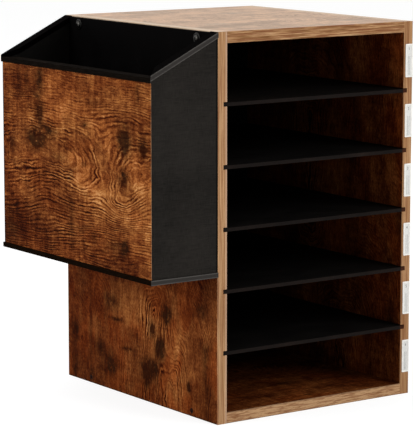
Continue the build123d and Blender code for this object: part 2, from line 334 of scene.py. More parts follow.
rustic = {
    "ramp": [(0.0, (33, 11, 5)), (0.2, (60, 24, 9)), (0.4, (91, 46, 20)), (0.6, (124, 72, 35)),
             (0.8, (160, 103, 53)), (1.0, (194, 139, 86))],
    "smudge": ((34, 10, 3), (28, 14, 6)),       # a warm and a cool one, mixed
    "red": (224, 168, 138),             # multiplied over the stained areas
    "paintedSheen": (196, 166, 110),          # mixed into a board as a painted pale sheen
    "cornerHighlight": (160, 124, 92),             # a painted highlight on the front corner of the pocket's panel, and from where to where it fades, in mm
    "cornerHighlightReach": (0.2, 1.1),            # and from where to where it fades, in mm
    "rearLine": (24, 13, 8),            # the joint at its rear corner, where the black board's edge shows
    "rearReach": (0.7, 1.8),
    "faceShift": (3.1, 1.7),            # how far the print moves along and across, per mm of depth
    "bandEdge": 0.35,                   # depth in mm of the oak band on a rear edge
    "rawEdge": 0.04,                    # and of the raw underside
    "foot": 1.3,                        # height in mm of the painted contact shadow along the foot of a side
    "footShadow": (38, 22, 13),
    "specular": 0.004, "roughness": 0.45,
    "broad": 0.9, "mottle": 0.7,        # strengths in the tone: of broad patches, of mottling,
    "comb": 1.5,                        # of bars across the grain, times the board's sawn,
    "speck": 0.6, "fibre": 0.5,         # of fine specks, and of the fibres
}
growth = {
    "drift": ((150, 60, 90), 26.0),     # the lines' long wander across the grain: its size and reach in mm
    "swaySize": (34, 18, 40),           # and the shorter one, whose reach is the board's sway
    "sway": 9.0,
    "slide": ((30, 24, 70), 24.0),      # the wander along the grain
    "ripples": (((10, 5, 20), 1.0), ((24, 13, 40), 2.2)),
    "calm": 0.2,                        # the share of the ripples that is left far from a core
    "gaps": 2.4,
    "lineSpan": (0.36, 0.74, 0.82, 1.0),        # where in a pitch a line starts, is full, sinks and ends
    "flankSpan": (0.0, 0.2, 0.26, 0.44),        # and its pale flank
    "flankPale": 0.34,                  # how pale the flank is, against the line's dark
    "squareness": 3.0,                  # of the lines' way round a core: 2 would be an oval
    "merge": 14.0,                      # mm over which the lines of two cores flow into each other
}
oak = {
    "ramp": [(0.34, (118, 78, 44)), (0.46, (152, 110, 72)), (0.56, (176, 132, 92)), (0.7, (196, 155, 114))],
    "streaks": 0.75, "broad": 0.35,     # the shares of the fine streaks and of the broad tone
    "broadSize": 3.3,                   # the broad tone's size, in streaks
    # rim is the colour of the painted shadow along a band's long edges
    "pore": (112, 72, 42), "red": (132, 84, 54), "rim": (112, 88, 66),
    # a painted highlight for a band's inner edge, and a pale colour mixed in as painted sheen
    "edgeHighlight": (206, 172, 146), "paintedSheen": (188, 172, 150),
}


def oakColour(tree, place, size, shade=0.0, contrast=1.0):
    # Light oak with fine streaks. Size gives the streaks' length on each axis.
    streaks = noise(tree, place, size, 4.0, 0.6)
    broad = noise(tree, place, tuple(value * oak["broadSize"] for value in size), 2.0)
    level = oak["streaks"] / 2 * (1 - contrast) + shade        # contrast turns about the streaks' mean
    value = calc(tree, "MULTIPLY_ADD", streaks, oak["streaks"] * contrast,
                 calc(tree, "MULTIPLY_ADD", broad, oak["broad"], level))
    return ramp(tree, value, oak["ramp"]), value


def coreColour(tree, place):
    # Pressed chips, as they show on a raw edge.
    chips = addNode(tree, "ShaderNodeTexVoronoi", {
        "Vector": vectorCalc(tree, "DIVIDE", place, (2.6, 1.5, 1.2)), "Scale": 1.0}, output=1)
    tint = addNode(tree, "ShaderNodeSeparateColor", {0: chips})
    return ramp(tree, tint, [(0.0, (120, 88, 56)), (0.5, (176, 138, 94)), (1.0, (206, 172, 128))])


def coreDistance(tree, cores, along, across):
    # How far a place lies from the nearest core. Past a core's ends the way along the grain counts less.
    nearest = None
    power = growth["squareness"]
    for (start, end), middle, blunt in cores:
        before, beyond = calc(tree, "SUBTRACT", start, along), calc(tree, "SUBTRACT", along, end)
        past = calc(tree, "MAXIMUM", calc(tree, "MAXIMUM", before, beyond), 0.0)
        past = calc(tree, "MULTIPLY", past, blunt)
        off = calc(tree, "ABSOLUTE", calc(tree, "SUBTRACT", across, middle))
        added = calc(tree, "ADD", calc(tree, "POWER", off, power), calc(tree, "POWER", past, power))
        away = calc(tree, "POWER", added, 1 / power)
        nearest = away if nearest is None else calc(tree, "SMOOTH_MIN", nearest, away, growth["merge"])
    return nearest


def pulse(tree, value, starts, full, sinks, ends):
    # 1 from full to sinks, and 0 before it starts and after it ends.
    return calc(tree, "SUBTRACT", stretch(tree, value, starts, full), stretch(tree, value, sinks, ends))


def growthLines(tree, spec, flat, seeded, along, across):
    # Lines round the cores, wider apart and rougher close to them, and the fibres that run with the lines.
    across = calc(tree, "ADD", across, spots(tree, flat, spec.get("bends", [])))
    for size, reach in (growth["drift"], (growth["swaySize"], spec.get("sway", growth["sway"]))):
        across = calc(tree, "MULTIPLY_ADD", swing(tree, seeded, size, 1.0), reach, across)
    size, reach = growth["slide"]
    along = calc(tree, "MULTIPLY_ADD", swing(tree, seeded, size, 1.0), reach, along)

    # Count the lines from the core outwards, with ripples and uneven gaps
    away = coreDistance(tree, spec["cores"], along, across)
    near = calc(tree, "POWER", 1 / math.e, calc(tree, "DIVIDE", away, spec["reach"]))
    widening = (1 / spec["pitch"] - 1 / spec["corePitch"]) * spec["reach"]
    count = calc(tree, "MULTIPLY_ADD", near, widening, calc(tree, "DIVIDE", away, spec["pitch"]))
    uneven = calc(tree, "MULTIPLY_ADD", near, 1 - growth["calm"], growth["calm"])
    for size, reach in growth["ripples"]:
        ripple = calc(tree, "MULTIPLY", swing(tree, seeded, size), uneven)
        count = calc(tree, "MULTIPLY_ADD", ripple, reach * spec["ripple"], count)
    follow = addNode(tree, "ShaderNodeCombineXYZ", {0: along, 1: count, 2: spec["seed"] * 7})
    gaps = spec.get("gaps", growth["gaps"])
    count = calc(tree, "MULTIPLY_ADD", swing(tree, follow, (900, 2.6, 1)), gaps, count)
    share = calc(tree, "FRACT", count)
    flank = pulse(tree, share, *growth["flankSpan"])
    line = pulse(tree, share, *growth["lineSpan"])
    line = calc(tree, "MULTIPLY_ADD", flank, -growth["flankPale"], line)

    # Each line fades in and out along its way, and whole areas are fainter
    strength = stretch(tree, noise(tree, follow, (34, 1.1, 1), 3.0), 0.32, 0.68, 0.1, 1.0)
    patchy = stretch(tree, noise(tree, seeded, (44, 20, 60), 2.0), 0.36, 0.64, 0.35, 1.15)
    strength = calc(tree, "MULTIPLY", strength, patchy)
    close = calc(tree, "MULTIPLY_ADD", near, spec["coreLines"] - spec["farLines"], spec["farLines"])
    close = calc(tree, "ADD", close, spots(tree, flat, spec.get("lineMarks", [])))
    close = calc(tree, "MAXIMUM", close, 0.0)
    if "hollow" in spec:
        clear = stretch(tree, away, spec["hollow"] * 0.4, spec["hollow"], 0.3, 1.0)
        close = calc(tree, "MULTIPLY", close, clear)
    line = calc(tree, "MULTIPLY", line, calc(tree, "MULTIPLY", strength, close))
    fibre = swing(tree, follow, (14, 0.5, 1), 3.0, 0.65)
    return line, fibre


def rusticBoard(name, spec):
    material, tree, shader = newMaterial("rusticBoard_" + name,
                                         Specular_IOR_Level=spec.get("specular", rustic["specular"]))
    place = millimetres(tree)
    part = axisParts(tree, place)
    depthAxis = ({"X", "Y", "Z"} - {spec["along"], spec["across"]}).pop()
    alongShift, acrossShift = rustic["faceShift"]
    low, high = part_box(name)
    outerFace = {"left_side_panel": low.x, "pocket_front_panel": low.x, "right_side_panel": high.x,
                 "top_panel": high.z, "bottom_panel": low.z}[name] / mm
    inward = calc(tree, "ABSOLUTE", calc(tree, "SUBTRACT", part[depthAxis], outerFace))
    along = calc(tree, "MULTIPLY_ADD", inward, alongShift, part[spec["along"]])
    across = calc(tree, "MULTIPLY_ADD", inward, acrossShift, part[spec["across"]])
    flat = addNode(tree, "ShaderNodeCombineXYZ", {0: along, 1: across})
    seeded = addNode(tree, "ShaderNodeCombineXYZ", {0: along, 1: across, 2: spec["seed"] * 10})
    line, fibre = growthLines(tree, spec, flat, seeded, along, across)

    # Tone: broad patches, mottling, bars across the grain, specks, fibres, fine saw marks and growth lines
    sawn = swing(tree, seeded, (1.8, 20, 20), 3.0, 0.6)
    parts = (
        (swing(tree, seeded, (80, 34, 60), 4.0, 0.6), rustic["broad"]),
        (swing(tree, seeded, (13, 6, 30), 4.0, 0.7), rustic["mottle"]),
        (swing(tree, seeded, (7, 46, 40), 2.0), rustic["comb"] * spec["sawn"]),
        (swing(tree, seeded, (2.6, 1.3, 6), 2.0), rustic["speck"]),
        (fibre, spec.get("fibre", rustic["fibre"])),
        (sawn, spec["sawn"]),
        (line, -spec["lines"]),
    )
    tone = calc(tree, "ADD", spots(tree, flat, spec["patches"]), spec["tone"])
    for value, share in parts:
        tone = calc(tree, "MULTIPLY_ADD", value, share * spec.get("contrast", 1.0), tone)
    colour = ramp(tree, tone, rustic["ramp"])

    # Reddish stain and dark smudges
    wet = noise(tree, seeded, (60, 36, 60), 3.0)
    stain = stretch(tree, wet, 0.42, 0.6, spec["stain"] * 0.3, spec["stain"])
    colour = mixColour(tree, stain, colour, srgb(*rustic["red"]), "MULTIPLY")
    ragged = stretch(tree, noise(tree, seeded, (8, 6, 10), 4.0, 0.7), 0.34, 0.56, 0.45, 1.15)
    smudge = calc(tree, "MULTIPLY", spots(tree, flat, spec["smudges"]), ragged)
    small = stretch(tree, noise(tree, seeded, (22, 11, 30), 4.0, 0.6), 0.58, 0.72, 0.0, spec["clouds"])
    smudge = calc(tree, "MINIMUM", calc(tree, "ADD", smudge, small), 0.9)
    warm, cool = rustic["smudge"]
    tint = stretch(tree, noise(tree, seeded, (30, 20, 60), 2.0), 0.4, 0.6)
    colour = mixColour(tree, smudge, colour, mixColour(tree, tint, srgb(*warm), srgb(*cool)))
    # Painted sheen: a pale colour mixed over the whole board
    if "paintedSheen" in spec:
        colour = mixColour(tree, spec["paintedSheen"], colour, srgb(*rustic["paintedSheen"]))

    # Edges: the pocket panel's front corner with a painted highlight and its dark rear joint, the oak band
    # on the other boards' rear edges, and the painted contact shadow along the foot of the sides and their
    # raw underside
    if name == "pocket_front_panel":
        # Painted highlight on the front corner, broken up by noise
        corner = calc(tree, "SUBTRACT", part["Y"], low.y / mm)
        cornerBreaks = stretch(tree, noise(tree, place, (4, 4, 9), 3.0), 0.3, 0.6, 0.3, 0.9)
        cornerHighlight = calc(tree, "MULTIPLY", stretch(tree, corner, *rustic["cornerHighlightReach"], 1.0, 0.0), cornerBreaks)
        colour = mixColour(tree, cornerHighlight, colour, srgb(*rustic["cornerHighlight"]))
        fromRear = calc(tree, "SUBTRACT", high.y / mm, part["Y"])
        joint = stretch(tree, fromRear, *rustic["rearReach"], 0.9, 0.0)
        colour = mixColour(tree, joint, colour, srgb(*rustic["rearLine"]))
    else:
        size = (1.2, 30, 30) if spec["along"] == "Z" else (30, 30, 1.2)
        rearEdge = calc(tree, "GREATER_THAN", part["Y"], high.y / mm - rustic["bandEdge"])
        colour = mixColour(tree, rearEdge, colour, oakColour(tree, place, size)[0])
    if name.endswith("side_panel"):
        # Painted contact shadow along the foot
        foot = stretch(tree, part["Z"], rustic["foot"] * 0.4, rustic["foot"], 0.85, 0.0)
        colour = mixColour(tree, foot, colour, srgb(*rustic["footShadow"]))
        under = calc(tree, "LESS_THAN", part["Z"], rustic["rawEdge"])
        colour = mixColour(tree, under, colour, coreColour(tree, place))

    height = calc(tree, "SUBTRACT", calc(tree, "ADD", fibre, sawn), line)
    middle = spec.get("roughness", rustic["roughness"])
    rough = stretch(tree, tone, 0.2, 0.8, middle + 0.05, middle - 0.05)
    finishShader(tree, shader, colour, rough, bump(tree, height, 0.05))
    return material


for boardName, boardSpec in boards.items():
    dress(rusticBoard(boardName, boardSpec), boardName)
print("rustic boards finished:", len(boards))


# Light oak edge bands. The grain is the streaks' size in mm on each axis, and shade moves the tone up or
# down, on the bottom front band as painted light. Red and pores are the shares of reddish streaks and dark
# pores, and one more share mixes in a pale colour as painted sheen. Two more are the widths in mm of a
# painted highlight along the inner edge and of painted shadow along the long edges.

bands = {
    "left_front_band": {"grain": (1.0, 3, 60), "shade": 0.05, "red": 0.7, "specular": 0.06, "pores": 0.7,
                        "contrast": 1.3, "edgeHighlight": 3.0},
    "right_front_band": {"grain": (1.0, 3, 60), "shade": 0.0, "red": 0.7, "specular": 0.06, "pores": 0.6,
                         "contrast": 1.2},
    "top_front_band": {"grain": (30, 3, 1.2), "shade": -0.02, "red": 1.0, "specular": 0.06, "pores": 0.9,
                       "contrast": 1.7},
    # Its raised shade is painted light on this low band.
    "bottom_front_band": {"grain": (16, 3, 1.3), "shade": 0.3, "red": 0.65, "specular": 0.06, "pores": 1.0,
                          "contrast": 3.4, "shadowEdges": 1.3},
    # The top bands are paled by painted sheen, like the top.
    "left_top_band": {"grain": (1.3, 42, 3), "shade": 0.0, "red": 0.1, "specular": 0.42, "paintedSheen": 0.6},
    "right_top_band": {"grain": (1.3, 42, 3), "shade": 0.0, "red": 0.1, "specular": 0.42, "paintedSheen": 0.6},
}


def oakBand(name, spec):
    material, tree, shader = newMaterial("oakBand_" + name, Specular_IOR_Level=spec["specular"])
    place = millimetres(tree)
    part = axisParts(tree, place)
    shifted = vectorCalc(tree, "ADD", place, (0, 0, 7.3 * len(name)))      # no two bands look alike
    colour, value = oakColour(tree, shifted, spec["grain"], spec["shade"], spec.get("contrast", 1.0))
    narrow = tuple(size * (0.4 if size > 9 else 0.32) for size in spec["grain"])    # thinner than a streak
    pores = stretch(tree, noise(tree, shifted, narrow, 2.0), 0.6, 0.72)
    share = calc(tree, "MULTIPLY", pores, spec.get("pores", 0.4))
    colour = mixColour(tree, share, colour, srgb(*oak["pore"]))
    elsewhere = vectorCalc(tree, "ADD", shifted, (9, 5, 3))
    red = stretch(tree, noise(tree, elsewhere, spec["grain"], 3.0), 0.46, 0.62)
    colour = mixColour(tree, calc(tree, "MULTIPLY", red, spec["red"]), colour, srgb(*oak["red"]))
    # Painted highlight along the inner edge
    if "edgeHighlight" in spec:
        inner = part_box(name)[1].x / mm
        innerHighlight = stretch(tree, part["X"], inner - spec["edgeHighlight"], inner - spec["edgeHighlight"] / 2, 0.0, 0.6)
        colour = mixColour(tree, innerHighlight, colour, srgb(*oak["edgeHighlight"]))
    # Painted shadow along the band's long edges
    if "shadowEdges" in spec:
        low, high = (corner.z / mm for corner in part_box(name))
        off = calc(tree, "ABSOLUTE", calc(tree, "SUBTRACT", part["Z"], (low + high) / 2))
        reach = (high - low) / 2
        rim = stretch(tree, off, reach - spec["shadowEdges"], reach - spec["shadowEdges"] * 0.3, 0.0, 0.6)
        colour = mixColour(tree, rim, colour, srgb(*oak["rim"]))
    # Painted sheen: a pale colour mixed over the whole band
    if "paintedSheen" in spec:
        colour = mixColour(tree, spec["paintedSheen"], colour, srgb(*oak["paintedSheen"]))
    finishShader(tree, shader, colour, stretch(tree, value, 0.3, 0.8, 0.55, 0.42),
                 bump(tree, calc(tree, "SUBTRACT", value, pores), 0.04))
    return material


for bandName, bandSpec in bands.items():
    dress(oakBand(bandName, bandSpec), bandName)
print("edge bands finished")


# Black boards of the pocket, its strips and the thin hardboards

black = {
    # inside is painted shade for the faces in the pocket
    "board": (25, 23, 21), "inside": (9, 8, 7), "boardSpecular": 0.03,
    "threadLong": 9, "threadWide": 0.55,        # mm, of the boards' linen print
    "insideDepth": 0.5,                 # mm under the outer face, from where an end takes the painted shade of the inside and the width in mm of the painted contact shadow beside the cabinet
    "joint": 3.0,                       # and the same beside the cabinet
    "cap": (3, 2, 2), "rail": (17, 13, 10), "floor": (18, 10, 5),       # the faces of the strips, by piece, the cap's darkest as painted shade
    "stripEdge": (54, 51, 49), "stripBorderHighlight": (82, 79, 76), "stripSpecular": 0.0015,
    "stripSlant": 6.1,                  # the upright thickness in mm of the two sloping strips
    "hardboard": (15, 13, 12), "specular": 0.04,
    # the pocket's back is darker than the cabinet's as painted shade inside the pocket
    "pocketBack": (6, 5, 5), "pocketSpecular": 0.006,
    "shelfFront": (26, 19, 16), "shelfFrontDepth": 0.4,
    "shelfEnd": (66, 34, 20), "bareFrom": 6.0, "bareFull": 4.5,         # mm from a shelf's right-hand end
    "darker": 0.62, "lighter": 1.5, "lift": 4,  # the two tones beside a black, as factors and 0 to 255
}


def threeTones(tree, value, middle):
    darker = tuple(part * black["darker"] for part in middle)
    lighter = tuple(part * black["lighter"] + black["lift"] for part in middle)
    return ramp(tree, value, [(0.4, darker), (0.6, middle), (0.9, lighter)])


def blackBoard(name):
    # A linen print, with painted shade on the faces that look into the pocket and beside the cabinet.
    material, tree, shader = newMaterial("blackBoard_" + name, Specular_IOR_Level=black["boardSpecular"])
    place = millimetres(tree)
    part = axisParts(tree, place)
    long, wide = black["threadLong"], black["threadWide"]
    weft = noise(tree, place, (long, long, wide), 2.0)
    warp = noise(tree, place, (wide, wide, long), 2.0)
    linen = calc(tree, "ADD", weft, warp)
    cloud = noise(tree, place, (60, 60, 60), 3.0)
    value = calc(tree, "MULTIPLY_ADD", cloud, 0.5, calc(tree, "MULTIPLY", linen, 0.5))
    # Painted shade inside the pocket and a painted contact shadow beside the cabinet
    outerY = max(abs(corner.y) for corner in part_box(name)) / mm
    inside = calc(tree, "LESS_THAN", calc(tree, "ABSOLUTE", part["Y"]), outerY - black["insideDepth"])
    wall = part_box(name)[1].x / mm
    joint = stretch(tree, part["X"], wall - black["joint"], wall - black["joint"] / 2)
    paintedShade = calc(tree, "MAXIMUM", inside, joint)
    colour = mixColour(tree, paintedShade, threeTones(tree, value, black["board"]),
                       threeTones(tree, value, black["inside"]))
    finishShader(tree, shader, colour, stretch(tree, cloud, 0.3, 0.7, 0.6, 0.7), bump(tree, linen, 0.05))
    return material


def blackStrip(name, thick, face):
    # Near-black faces and a grey outer edge with painted highlights along its borders. Thick is the strip's
    # height in mm there.
    material, tree, shader = newMaterial("blackStrip_" + name, Specular_IOR_Level=black["stripSpecular"])
    place = millimetres(tree)
    part = axisParts(tree, place)
    grain = noise(tree, place, (12, 12, 0.8), 3.0)
    low, high = (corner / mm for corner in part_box(name))
    slope = (high.z - thick - low.z) / (high.x - low.x)
    level = calc(tree, "MULTIPLY_ADD", calc(tree, "SUBTRACT", part["X"], low.x), -slope,
                 calc(tree, "SUBTRACT", part["Z"], low.z))
    fromMiddle = calc(tree, "ABSOLUTE", calc(tree, "SUBTRACT", calc(tree, "DIVIDE", level, thick), 0.5))
    # Painted highlights along the outer edge's borders, broken up by noise
    borderBreaks = stretch(tree, noise(tree, place, (16, 2, 1.4), 3.0), 0.3, 0.6, 0.5, 1.0)
    borderHighlight = calc(tree, "MULTIPLY", stretch(tree, fromMiddle, 0.2, 0.42), borderBreaks)
    edge = mixColour(tree, borderHighlight, srgb(*black["stripEdge"]), srgb(*black["stripBorderHighlight"]))
    outerY = high.y if high.y > -low.y else low.y
    depth = calc(tree, "ABSOLUTE", calc(tree, "SUBTRACT", part["Y"], outerY))
    outer = stretch(tree, depth, 0.2, 0.5, 1.0, 0.0)
    colour = mixColour(tree, outer, threeTones(tree, grain, face), edge)
    finishShader(tree, shader, colour, 0.6, bump(tree, grain, 0.04))
    return material


def blackHardboard(name, middle, specular, shelf=False):
    material, tree, shader = newMaterial("blackHardboard_" + name, Specular_IOR_Level=specular)
    place = millimetres(tree)
    speck = noise(tree, place, (1.6, 1.6, 1.6), 3.0, 0.65)
    cloud = noise(tree, place, (40, 24, 24), 3.0)
    value = calc(tree, "MULTIPLY_ADD", cloud, 0.6, calc(tree, "MULTIPLY", speck, 0.4))
    colour = threeTones(tree, value, middle)
    if shelf:
        # The front edge is a warmer black, and its right-hand end is rubbed bare by the groove.
        low, high = (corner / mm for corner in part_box("shelf_1"))
        part = axisParts(tree, place)
        front = calc(tree, "LESS_THAN", part["Y"], low.y + black["shelfFrontDepth"])
        bare = stretch(tree, part["X"], high.x - black["bareFrom"], high.x - black["bareFull"])
        bare = calc(tree, "MULTIPLY", bare, speck)
        edge = mixColour(tree, calc(tree, "MULTIPLY", bare, 1.6, clamp=True),
                         threeTones(tree, value, black["shelfFront"]), srgb(*black["shelfEnd"]))
        colour = mixColour(tree, front, colour, edge)
    finishShader(tree, shader, colour, stretch(tree, cloud, 0.3, 0.7, 0.5, 0.62), bump(tree, speck, 0.03))
    return material


def dressBlackParts():
    for name in ("pocket_front_end", "pocket_rear_end"):
        dress(blackBoard(name), name)
    for name in ("pocket_floor", "pocket_rail"):
        low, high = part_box(name)
        dress(blackStrip(name, (high.z - low.z) / mm, black[name.removeprefix("pocket_")]), name)
    for name in ("pocket_front_cap", "pocket_rear_cap"):
        dress(blackStrip(name, black["stripSlant"], black["cap"]), name)
    dress(blackHardboard("pocket", black["pocketBack"], black["pocketSpecular"]), "pocket_back_panel")
    dress(blackHardboard("cabinet", black["hardboard"], black["specular"]), "back_panel")
    shelves = [name for name in nodes if name.startswith("shelf_")]
    dress(blackHardboard("shelf", black["hardboard"], black["specular"], shelf=True), *shelves)


dressBlackParts()
print("black boards finished")


# Hardware: turned in mesh code, then set out in rows by Geometry Nodes. Sizes are in mm.
# Sink is the height of a countersunk head, rise that of a round one, and recess the width of its cross.

hardware = {
    "cabinetScrew": {"head": 6.0, "shank": 4.0, "length": 40.0, "sink": 1.0, "neck": 4.0,
                     "pitch": 1.8, "threadDepth": 0.65, "recess": 3.4},
    "hangerScrew": {"head": 7.0, "shank": 3.5, "length": 13.0, "rise": 2.0, "neck": 1.2,
                    "pitch": 1.4, "threadDepth": 0.55, "recess": 4.0},
    "floorScrew": {"head": 5.5, "shank": 3.0, "length": 22.0, "sink": 1.25, "neck": 2.0,
                   "pitch": 1.3, "threadDepth": 0.5, "recess": 3.0,
                   "fromMiddle": 0.3},  # its place along a board, as a share of the board's length
    "dowel": {"size": 6.0, "length": 28.0, "chamfer": 1.0, "flutes": 14, "fluteDepth": 0.28},
    "cross": {"arm": 0.13, "mouth": 0.5, "foot": 0.25, "depth": 0.42,   # shares of the recess's width
              "above": 0.5},            # mm that its cutter stands out of the head
    "head": {"rim": 0.96, "rimDepth": 0.08,     # a flat head's rim, as a share of its radius and in mm
             "domeEdge": 0.25},         # the share of a round head's height that its edge has
    "thread": {"rowsPerTurn": 6, "steep": 3.2, "runIn": 0.2},
}
metals = {
    "darkSteel": {"darker": (30, 14, 9), "lighter": (48, 25, 16), "roughness": 0.55, "size": 1.2,
                  "Specular_IOR_Level": 0.02},
    "dullZinc": {"darker": (42, 41, 39), "lighter": (68, 66, 63), "roughness": 0.34, "size": 1.5,
                 "Metallic": 1.0},
    "darkWasher": {"darker": (22, 21, 20), "lighter": (38, 37, 35), "roughness": 0.3, "size": 1.5,
                   "Metallic": 1.0},
}
segments = 28                           # round a turned piece


def turned(name, rows):
    # A closed body of rows from the top down: a height, and a radius or a function of the angle.
    mesh = bmesh.new()
    rings = []
    for height, radius in rows:
        if radius == 0:
            rings.append([mesh.verts.new((0, 0, height))])
            continue
        ring = []
        for step in range(segments):
            angle = 2 * math.pi * step / segments
            reach = radius(angle) if callable(radius) else radius
            ring.append(mesh.verts.new((reach * math.cos(angle), reach * math.sin(angle), height)))
        rings.append(ring)
    for upper, lower in zip(rings, rings[1:]):
        for step in range(segments):
            after = (step + 1) % segments
            corners = [upper[step % len(upper)], lower[step % len(lower)],
                       lower[after % len(lower)], upper[after % len(upper)]]
            mesh.faces.new(list(dict.fromkeys(corners)))
    bmesh.ops.recalc_face_normals(mesh, faces=mesh.faces)
    return meshObject(name, mesh)


def meshObject(name, mesh):
    data = bpy.data.meshes.new(name)
    mesh.to_mesh(data)
    mesh.free()
    return bpy.data.objects.new(name, data)


def recessCutter(spec, top):
    # A cross for the driver as one closed body, wide at its mouth above the head and narrower at its foot.
    cross, width = hardware["cross"], spec["recess"]
    mesh = bmesh.new()
    thin = width * cross["arm"]
    rings = []
    mouth = (top + cross["above"], width * cross["mouth"])
    foot = (top - width * cross["depth"], width * cross["foot"])
    for height, reach in (mouth, foot):
        ring = []
        for quarter in range(4):
            turn = Matrix.Rotation(quarter * math.pi / 2, 2)
            for point in ((reach, -thin), (reach, thin), (thin, thin)):
                ring.append(mesh.verts.new((*(turn @ Vector(point)), height)))
        rings.append(ring)
    upper, lower = rings
    mesh.faces.new(upper)
    mesh.faces.new(lower[::-1])
    for step in range(len(upper)):
        mesh.faces.new([upper[step - 1], lower[step - 1], lower[step], upper[step]])
    bmesh.ops.recalc_face_normals(mesh, faces=mesh.faces)
    return meshObject("cutter", mesh)


def threadRows(spec, start, end):
    # The thread as rows whose radius runs round with the angle.
    thread = hardware["thread"]
    crest = spec["shank"] / 2
    rows, step = [], spec["pitch"] / thread["rowsPerTurn"]
    height = start
    while height > end:
        def radius(angle, height=height):
            share = (height / spec["pitch"] - angle / (2 * math.pi)) % 1.0
            return crest - spec["threadDepth"] * min(1.0, abs(share - 0.5) * thread["steep"])
        rows.append((height, radius))
        height -= step
    return rows


def screw(name, spec):
    # Head, neck, thread and tip from the top down, with the recess cut into the head.
    headRadius, shankRadius = spec["head"] / 2, spec["shank"] / 2
    head = hardware["head"]
    if "rise" in spec:
        top = spec["rise"]
        edge = head["domeEdge"]
        rows = [(top, 0)]
        for share in (0.25, 0.5, 0.7, 0.85, 0.95, 1.0):
            rows.append((top * (edge + (1 - edge) * math.sqrt(1 - share ** 2)), headRadius * share))
        rows += [(0.0, headRadius), (-0.01, shankRadius)]
    else:
        top = 0.0
        rows = [(top, 0), (top, headRadius * head["rim"]), (top - head["rimDepth"], headRadius),
                (-spec["sink"], shankRadius)]
    neckEnd = rows[-1][0] - spec["neck"]
    tip = -spec["length"]
    rows.append((neckEnd, shankRadius))
    rows += threadRows(spec, neckEnd - hardware["thread"]["runIn"], tip + shankRadius)
    rows += [(tip + shankRadius * 0.9, shankRadius - spec["threadDepth"]), (tip, 0)]
    body = turned(name, rows)
    cutter = recessCutter(spec, top)
    cut = body.modifiers.new("recess", "BOOLEAN")
    cut.object, cut.operation, cut.solver = cutter, "DIFFERENCE", "EXACT"
    return baked(body, cutter)


def dowel(spec):
    radius, half = spec["size"] / 2, spec["length"] / 2
    def fluted(angle):
        return radius - spec["fluteDepth"] * (0.5 - 0.5 * math.cos(spec["flutes"] * angle)) ** 4
    slim = radius - spec["chamfer"]
    rows = [(half, 0), (half, slim), (half - spec["chamfer"], fluted), (0, fluted),
            (spec["chamfer"] - half, fluted), (-half, slim), (-half, 0)]
    return turned("dowel", rows)


def baked(piece, *helpers):
    # A new object with the piece's modifiers worked into a plain mesh. The old ones are deleted.
    scene = bpy.context.scene.collection.objects
    for item in (piece, *helpers):
        if item.name not in scene:
            scene.link(item)
    seen = bpy.context.evaluated_depsgraph_get()
    data = bpy.data.meshes.new_from_object(piece.evaluated_get(seen))
    name = piece.name
    for item in (piece, *helpers):
        bpy.data.objects.remove(item)
    data.name = name
    return bpy.data.objects.new(name, data)


def makeRowsTree():
    # Geometry Nodes: copies of one piece in rows and columns, each turned on its own axis by chance.
    tree = bpy.data.node_groups.new("setInRows", "GeometryNodeTree")
    inputs = (("Piece", "Object"), ("Columns", "Int"), ("Rows", "Int"), ("Width", "Float"),
              ("Height", "Float"), ("Middle", "Vector"), ("Facing", "Vector"), ("Spin", "Float"),
              ("Seed", "Int"), ("Finish", "Material"))
    for name, kind in inputs:
        tree.interface.new_socket(name=name, in_out="INPUT", socket_type="NodeSocket" + kind)
    tree.interface.new_socket(name="Geometry", in_out="OUTPUT", socket_type="NodeSocketGeometry")
    given = tree.nodes.new("NodeGroupInput").outputs
    piece = addNode(tree, "GeometryNodeObjectInfo", {"Object": given["Piece"]}).node.outputs["Geometry"]
    grid = addNode(tree, "GeometryNodeMeshGrid", {
        "Size X": given["Width"], "Size Y": given["Height"],
        "Vertices X": given["Columns"], "Vertices Y": given["Rows"]})
    chance = tree.nodes.new("FunctionNodeRandomValue")
    chance.data_type = "FLOAT"
    tree.links.new(given["Seed"], chance.inputs["Seed"])
    spin = addNode(tree, "ShaderNodeMath", {0: chance.outputs[1], 1: given["Spin"]}, operation="MULTIPLY")
    angles = addNode(tree, "ShaderNodeCombineXYZ", {2: spin})
    turn = addNode(tree, "FunctionNodeEulerToRotation", {0: angles})
    copies = addNode(tree, "GeometryNodeInstanceOnPoints", {
        "Points": grid, "Instance": piece, "Rotation": turn})
    facing = addNode(tree, "FunctionNodeEulerToRotation", {0: given["Facing"]})
    placed = addNode(tree, "GeometryNodeTransform", {
        "Geometry": copies, "Translation": given["Middle"], "Rotation": facing})
    real = addNode(tree, "GeometryNodeRealizeInstances", {"Geometry": placed})
    done = addNode(tree, "GeometryNodeSetMaterial", {"Geometry": real, "Material": given["Finish"]})
    tree.links.new(done, tree.nodes.new("NodeGroupOutput").inputs[0])
    return tree


rowsTree = makeRowsTree()


def setInRows(name, piece, finish, columns, rows, width, height, middle, facing, spin=2 * math.pi, seed=1):
    # Facing is the rows' turn in radians on each axis, and spin how far each copy may turn on its own.
    holder = bpy.data.objects.new(name, bpy.data.meshes.new(name))
    modifier = holder.modifiers.new("rows", "NODES")
    modifier.node_group = rowsTree
    sockets = {item.name: item.identifier
               for item in rowsTree.interface.items_tree if item.in_out == "INPUT"}
    values = {"Piece": piece, "Columns": columns, "Rows": rows, "Width": width, "Height": height,
              "Middle": middle, "Facing": facing, "Spin": spin, "Seed": seed, "Finish": finish}
    for key, value in values.items():
        modifier[sockets[key]] = value
    placed = baked(holder)
    placed.data.transform(Matrix.Scale(mm, 4))
    if not placed.data.materials:
        placed.data.materials.append(finish)
    show(placed)
    return placed


